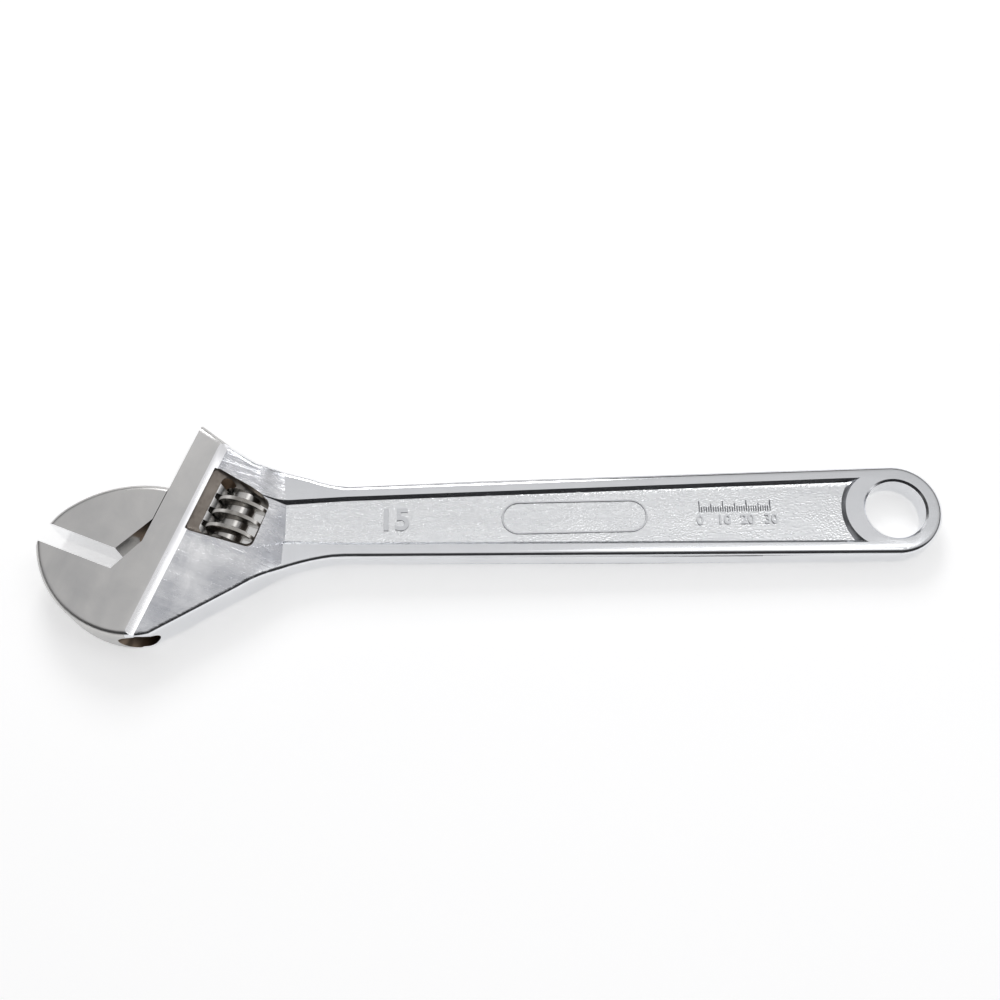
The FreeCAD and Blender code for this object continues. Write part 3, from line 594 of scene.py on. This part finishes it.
@dataclass
class Marks:
    """Raised marks on the recess floors: an oval frame, the size and a rule."""

    floor: float = 4.6
    rise: float = 0.45
    sink: float = 0.1
    oval_centre: float = -136.0
    oval_length: float = 61.0
    oval_width: float = 13.9
    oval_line: float = 0.75
    oval_foot: float = 0.6
    oval_top: float = 0.4
    oval_steps: int = 20
    size_text: str = "15"
    size_place: tuple[float, float] = (-219.0, -4.2)
    size_height: float = 13.6
    rule_start: float = -83.0
    rule_base: float = 1.0
    rule_length: int = 30
    digit_height: float = 6.0
    digit_drop: float = 0.95
    tick_length: float = 2.2
    tick_step: float = 1.3
    tick_width: float = 0.32
    stroke: float = 0.12
    size_stroke: float = 0.3
    top_slope: float = 0.7

    def dress(self, mesh: bpy.types.Mesh, finishes: Finishes) -> None:
        """Give a mark its pale top and its sides the dark painted shade."""
        mesh.materials.append(finishes.get(MARK))
        mesh.materials.append(finishes.get(MARK_SIDE_SHADE))
        for face in mesh.polygons:
            face.material_index = 0 if abs(face.normal.z) > self.top_slope else 1

    def oval(self, side: int, finishes: Finishes) -> bpy.types.Mesh:
        """Raised line round a plain oval, on the upper (1) or lower (-1) face."""
        round_off, straight = self.oval_width / 2, self.oval_length / 2 - self.oval_width / 2
        steps = self.oval_steps
        foot, top = self.oval_line * self.oval_foot, self.oval_line * self.oval_top
        form = bmesh.new()
        rings = []
        sections = ((foot, -self.sink), (top, self.rise), (-top, self.rise), (-foot, -self.sink))
        for out, lift in sections:
            ring = []
            for centre, first in ((straight, -90), (-straight, 90)):
                for step in range(steps + 1):
                    angle = math.radians(first + 180 * step / steps)
                    reach = round_off + out
                    place = Vector((self.oval_centre + centre + reach * math.cos(angle),
                                    reach * math.sin(angle), (self.floor + lift) * side))
                    ring.append(form.verts.new(place * MM))
            rings.append(ring)
        count = len(rings[0])
        for low, high in zip(rings, rings[1:] + rings[:1]):
            for step in range(count):
                after = (step + 1) % count
                form.faces.new((low[step], low[after], high[after], high[step]))
        bmesh.ops.recalc_face_normals(form, faces=form.faces)
        mesh = bpy.data.meshes.new("oval")
        form.to_mesh(mesh)
        form.free()
        self.dress(mesh, finishes)
        return mesh

    def digits(self, text: str, place: tuple[float, float], height: float, stroke: float,
               finishes: Finishes, centred: bool = False) -> bpy.types.Mesh:
        """Plain raised figures with their feet in the recess floor.

        Args:
            text: The figures.
            place: Lower left corner, or lower middle where centred.
            height: Font size in millimetres.
            stroke: How much the strokes are thickened, in millimetres.
            finishes: Where the materials come from.
            centred: Whether the figures stand centred on their place.

        Returns:
            The mesh, at its place.
        """
        curve = bpy.data.curves.new("figures", "FONT")
        curve.body = text
        curve.size = height * MM
        curve.extrude = (self.rise + self.sink) / 2 * MM
        curve.offset = stroke * MM
        curve.align_x = "CENTER" if centred else "LEFT"
        helper = bpy.data.objects.new("figures", curve)
        bpy.context.scene.collection.objects.link(helper)
        graph = bpy.context.evaluated_depsgraph_get()
        mesh = bpy.data.meshes.new_from_object(helper.evaluated_get(graph))
        bpy.data.objects.remove(helper)
        lift = self.floor + (self.rise - self.sink) / 2
        mesh.transform(Matrix.Translation(Vector((place[0], place[1], lift)) * MM))
        mesh.materials.clear()
        self.dress(mesh, finishes)
        return mesh

    def ticks(self, finishes: Finishes) -> bpy.types.Mesh:
        """Tick marks of a millimetre rule: every fifth is longer, every tenth longest."""
        tree = GeometryTree("rule_ticks")
        book = tree.book
        pitch = tree.size("Pitch", 1.0 * MM)
        count = tree.size("Count", self.rule_length + 1)
        short = tree.size("Short", self.tick_length * MM)
        step = tree.size("Extra length", self.tick_step * MM)
        width = tree.size("Width", self.tick_width * MM)
        height = tree.size("Height", (self.rise + self.sink) * MM)
        # The ticks are drawn whole in the dark painted shade of the marks' sides.
        tree.material(finishes.get(MARK_SIDE_SHADE))
        reach = book.add("ShaderNodeCombineXYZ", {0: pitch})
        row = book.add("GeometryNodeMeshLine", {"Count": count, "Offset": reach.outputs[0]})
        number = book.add("GeometryNodeInputIndex").outputs[0]
        extra = 0.0
        for every in (5.0, 10.0):
            hit = book.math("LESS_THAN", book.math("MODULO", number, every), 0.5)
            extra = book.math("ADD", hit, extra)
        length = book.math("ADD", short, book.math("MULTIPLY", extra, step))
        scale = book.add("ShaderNodeCombineXYZ", {0: width, 1: length, 2: height})
        box = book.add("GeometryNodeMeshCube", {"Size": (1.0, 1.0, 1.0)})
        moved = book.add("GeometryNodeTransform", {
            "Geometry": box.outputs[0], "Translation": (0.0, 0.5, 0.5)})
        rows = book.add("GeometryNodeInstanceOnPoints", {
            "Points": row.outputs[0], "Instance": moved.outputs[0], "Scale": scale.outputs[0]})
        place = Vector((self.rule_start, self.rule_base, self.floor - self.sink)) * MM
        return tree.mesh("rule_ticks", rows.outputs[0], Matrix.Translation(place))

    def build(self, finishes: Finishes) -> None:
        """Add the oval frames to both recess floors, and the size figures and the rule to the upper one."""
        for side, label in ((1, "upper"), (-1, "lower")):
            new_piece(f"oval_{label}", self.oval(side, finishes), "wrench")
        size = self.digits(self.size_text, self.size_place, self.size_height, self.size_stroke, finishes)
        new_piece("size_figures", size, "wrench")
        new_piece("rule_ticks", self.ticks(finishes), "wrench")
        for number in range(0, self.rule_length + 1, 10):
            place = (self.rule_start + number, self.rule_base - self.digit_height * self.digit_drop)
            figures = self.digits(str(number), place, self.digit_height, self.stroke, finishes,
                                  centred=True)
            new_piece(f"rule_figures_{number}", figures, "wrench")
        log.info("marks: oval frames, size figures and rule")


# --------------------------------------------------------------------- moving pieces


@dataclass
class SlidingJaw:
    """Movable jaw with its web, round shank and rack."""

    opening: float = 8.6
    shank_axis: float = 14.5
    shank: float = 7.4
    touch: float = 0.05
    groove_depth: float = 0.04
    end_slope: float = 0.98
    rack_lap: float = 1.0
    rack_facing: float = -0.2
    order: list[SteelFinish] = field(default_factory=lambda: [JAW, FACE, RACK, GROOVE_SHADE, BORE_SHADE])

    def finish_at(self, place: Vector, normal: Vector) -> SteelFinish:
        """Finish of a face, from its centre in millimetres and its normal."""
        along, up = HEAD_FRAME.local(place)
        upward = normal.dot(HEAD_FRAME.up)
        if abs(up - self.opening) < self.touch and along < 0 and upward < -FLUSH:
            return FACE
        if along < 0:
            return JAW
        radius = math.hypot(along - self.shank_axis, place.z)
        facing = normal.dot(HEAD_FRAME.along)
        # Faces inside the rack's grooves get the dark painted shade.
        inside = along > self.shank_axis and radius < self.shank - self.groove_depth
        if inside and abs(upward) < self.end_slope:
            return GROOVE_SHADE
        if along > self.shank_axis - self.rack_lap and facing > self.rack_facing:
            return RACK
        # The shank, inside the head's bore, gets the dark painted shade.
        return BORE_SHADE

    def build(self, frame: dict, finishes: Finishes) -> None:
        """Build the jaw from the CAD node."""
        piece = smooth_copy(frame["nodes"]["movable_jaw"], "sliding_jaw", "jaw")
        dress(piece, finishes, self.order, self.finish_at)
        bevelled(piece, 0.14, finishes, RIM)
        log.info("sliding_jaw: %d faces", len(piece.data.polygons))


@dataclass
class KnurledWorm:
    """Worm whose thread has a serrated crest for the thumb."""

    axis_along: float = 29.0
    base: float = 30.5
    length: float = 21.5
    radius: float = 10.5
    crest: float = 1.5
    pitch: float = 6.5
    mesh_height: float = 38.9
    tooth: float = 0.34
    end_margin: float = 2.3
    teeth_per_turn: int = 96
    spiral_steps: int = 64

    def place(self) -> Matrix:
        """Matrix from the worm's own frame, Z along its axis, to the object's in metres."""
        along, up = HEAD_FRAME.along, HEAD_FRAME.up
        turn = Matrix((along, Vector((0, 0, -1)), up)).transposed().to_4x4()
        return Matrix.Translation(HEAD_FRAME.point(self.axis_along, self.base) * MM) @ turn

    def lower_crest(self, piece: bpy.types.Object) -> None:
        """Take the teeth's height off the crest of the ridge."""
        inverse = self.place().inverted()
        limit = (self.radius - self.tooth) * MM
        for vertex in piece.data.vertices:
            own = inverse @ vertex.co
            reach = math.hypot(own.x, own.y)
            if reach > limit:
                own = Vector((own.x * limit / reach, own.y * limit / reach, own.z))
                vertex.co = self.place() @ own

    def crest_teeth(self, finishes: Finishes) -> bpy.types.Mesh:
        """Serrations along the crest, one small prism each."""
        first = (self.mesh_height - self.base) % self.pitch - self.pitch
        low, high = self.end_margin, self.length - self.end_margin
        turns = (high - low) / self.pitch
        start_turn = (low - first) / self.pitch + 0.5
        tree = GeometryTree("crest_teeth")
        book = tree.book
        radius = tree.size("Radius", (self.radius - self.tooth) * MM)
        rotations = tree.size("Turns", turns)
        height = tree.size("Height", (high - low) * MM)
        count = tree.size("Count", round(turns * self.teeth_per_turn))
        tooth = tree.size("Tooth", self.tooth * MM)
        width = tree.size("Width", self.crest * MM)
        tree.material(finishes.get(KNURL))
        spiral = book.add("GeometryNodeCurveSpiral", {"Resolution": self.spiral_steps, "Rotations": rotations,
                                                      "Start Radius": radius, "End Radius": radius,
                                                      "Height": height, "Reverse": True})
        points = book.add("GeometryNodeCurveToPoints", {"Curve": spiral.outputs[0], "Count": count},
                          mode="COUNT")
        prism = book.add("GeometryNodeMeshCylinder", {"Vertices": 4, "Radius": tooth, "Depth": width})
        where = book.add("ShaderNodeSeparateXYZ", {0: book.add("GeometryNodeInputPosition").outputs[0]})
        angle = book.math("ARCTAN2", where.outputs[1], where.outputs[0])
        turn = book.add("ShaderNodeCombineXYZ", {2: angle})
        facing = book.add("FunctionNodeEulerToRotation", {0: turn.outputs[0]})
        teeth = book.add("GeometryNodeInstanceOnPoints", {"Points": points.outputs[0],
                                                          "Instance": prism.outputs[0],
                                                          "Rotation": facing.outputs[0]})
        own = Matrix.Translation((0, 0, low * MM)) @ Matrix.Rotation(2 * math.pi * start_turn, 4, "Z")
        return tree.mesh("crest_teeth", teeth.outputs[0], self.place() @ own)

    def build(self, frame: dict, finishes: Finishes) -> None:
        """Build the worm and its serrations."""
        piece = smooth_copy(frame["nodes"]["worm"], "threaded_worm", "worm")
        self.lower_crest(piece)
        piece.data.materials.append(finishes.get(WORM))
        teeth = new_piece("crest_teeth", self.crest_teeth(finishes), "worm")
        log.info("threaded_worm: %d teeth faces", len(teeth.data.polygons))


@dataclass
class PinAndSpring:
    """Worm pin and the spring that takes up its play."""

    pin_node: str = "worm_pin"
    spring_node: str = "worm_spring"

    def build(self, frame: dict, finishes: Finishes) -> None:
        """Build both from their CAD nodes."""
        for node, name, slot, finish in ((self.pin_node, "slotted_pin", "pin_steel", PIN),
                                         (self.spring_node, "coil_spring", "spring_steel", WIRE)):
            piece = smooth_copy(frame["nodes"][node], name, "wrench")
            piece.data.materials.append(finishes.get(finish))
            log.info("%s: %d faces", name, len(piece.data.polygons))


# --------------------------------------------------------------------- studio


@dataclass
class Studio:
    """Pale floor, soft light and the camera."""

    target: tuple[float, float, float] = (-167.3, 10.2, 0.0)
    azimuth: float = -1.31
    elevation: float = 68.49
    distance: float = 558.5
    view_angle: float = 42.0
    floor_size: float = 3000.0
    floor_glow: float = 0.46
    floor_pale: float = 0.86
    floor_roughness: float = 0.8
    floor_gloss: float = 0.2
    head_bottom: tuple[float, float] = (-340.0, -10.62)
    end_bottom: tuple[float, float] = (15.0, -6.25)
    # height of the direction, level of the light
    sky_stops: tuple[tuple[float, float], ...] = (
        (0.0, 0.95), (0.14, 0.9), (0.24, 0.06), (0.42, 0.05), (0.56, 0.5), (0.8, 0.6), (1.0, 0.8))
    # where the dark side fades in: sideways, below its top, above its foot
    dark_side: tuple[float, float] = (-0.22, -0.42)
    dark_top: tuple[float, float] = (0.90, 0.80)
    dark_foot: tuple[float, float] = (0.10, 0.18)
    dark_share: float = 0.95
    # name, place in millimetres, size in metres, level of the light
    lamp_plan: tuple[tuple[str, tuple[float, float, float], float, float], ...] = (
        ("key", (-250.0, 1000.0, 800.0), 0.5, 6.0),
        ("band_panel", (130.0, 15.0, 790.0), 0.35, 1.15))

    def camera(self) -> None:
        """Place the camera."""
        turn, rise = math.radians(self.azimuth), math.radians(self.elevation)
        back = Vector((math.sin(turn) * math.cos(rise), -math.cos(turn) * math.cos(rise), math.sin(rise)))
        lens = bpy.data.cameras.new("camera")
        lens.angle = math.radians(self.view_angle)
        lens.clip_start, lens.clip_end = 0.01, 20
        holder = bpy.data.objects.new("camera", lens)
        holder.location = (Vector(self.target) + back * self.distance) * MM
        holder.rotation_euler = back.to_track_quat("Z", "Y").to_euler()
        bpy.context.scene.collection.objects.link(holder)
        bpy.context.scene.camera = holder

    def floor(self) -> None:
        """White floor, tilted to pass under the head and the handle's end."""
        (x0, z0), (x1, z1) = self.head_bottom, self.end_bottom
        slope = (z1 - z0) / (x1 - x0)
        half = self.floor_size
        corners = [Vector((x, y, z0 + slope * (x - x0))) * MM
                   for x, y in ((-half, -half), (half, -half), (half, half), (-half, half))]
        mesh = bpy.data.meshes.new("floor")
        mesh.from_pydata(corners, [], [(0, 1, 2, 3)])
        board = bpy.data.objects.new("floor", mesh)
        bpy.context.scene.collection.objects.link(board)
        material = bpy.data.materials.new("floor_white")
        material.use_nodes = True
        book = NodeBook(material.node_tree)
        shader = material.node_tree.nodes["Principled BSDF"]
        shader.inputs["Roughness"].default_value = self.floor_roughness
        shader.inputs["Specular IOR Level"].default_value = self.floor_gloss
        shader.inputs["Base Color"].default_value = (*[self.floor_pale] * 3, 1)
        shader.inputs["Emission Color"].default_value = (1, 1, 1, 1)
        path = book.add("ShaderNodeLightPath")
        seen = book.math("MAXIMUM", path.outputs["Is Camera Ray"], path.outputs["Is Glossy Ray"])
        seen = book.math("MAXIMUM", seen, path.outputs["Is Transmission Ray"])
        glow = book.math("MULTIPLY", seen, self.floor_glow)
        book.tree.links.new(glow, shader.inputs["Emission Strength"])
        mesh.materials.append(material)

    def sky(self) -> None:
        """Room light: bright overhead, a dark belt and dark side behind the viewer, a pale horizon."""
        world = bpy.data.worlds.new("room")
        world.use_nodes = True
        bpy.context.scene.world = world
        book = NodeBook(world.node_tree)
        background = world.node_tree.nodes["Background"]
        direction = book.add("ShaderNodeTexCoord").outputs["Generated"]
        up = book.add("ShaderNodeSeparateXYZ", {0: direction})
        ramp = book.add("ShaderNodeValToRGB", {"Fac": up.outputs[2]})
        elements = ramp.color_ramp.elements
        for index, (place, level) in enumerate(self.sky_stops):
            stop = elements[index] if index < 2 else elements.new(place)
            stop.position = place
            stop.color = (level, level, level * 1.01, 1)
        behind = book.spread(up.outputs[1], *self.dark_side)
        low = book.spread(up.outputs[2], *self.dark_top)
        raised = book.spread(up.outputs[2], *self.dark_foot)
        shade = book.math("MULTIPLY", book.math("MULTIPLY", behind, low),
                          book.math("MULTIPLY", raised, self.dark_share))
        room = book.blend(shade, ramp.outputs[0], (0.02, 0.02, 0.022, 1))
        path = book.add("ShaderNodeLightPath")
        colour = book.blend(path.outputs["Is Camera Ray"], room, (1, 1, 1, 1))
        book.tree.links.new(colour, background.inputs["Color"])

    def lamps(self) -> None:
        """A low soft key from behind and a small panel that the head's band mirrors."""
        for name, place, size, level in self.lamp_plan:
            lamp = bpy.data.lights.new(name, "AREA")
            lamp.size = size
            lamp.energy = level * math.pi * size * size
            holder = bpy.data.objects.new(name, lamp)
            holder.location = Vector(place) * MM
            aim = Vector(place) - Vector(self.target)
            holder.rotation_euler = aim.to_track_quat("Z", "Y").to_euler()
            bpy.context.scene.collection.objects.link(holder)

    def build(self) -> None:
        """Set the stage."""
        bpy.context.scene.view_settings.view_transform = "Standard"
        self.camera()
        self.floor()
        self.sky()
        self.lamps()


def main() -> None:
    """Build every sub-assembly in order."""
    logging.basicConfig(level=logging.INFO)
    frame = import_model()
    finishes = Finishes()
    Head().build(frame, finishes)
    Marks().build(finishes)
    SlidingJaw().build(frame, finishes)
    KnurledWorm().build(frame, finishes)
    PinAndSpring().build(frame, finishes)
    Studio().build()
    bpy.context.view_layer.update()


if __name__ == "__main__":
    main()
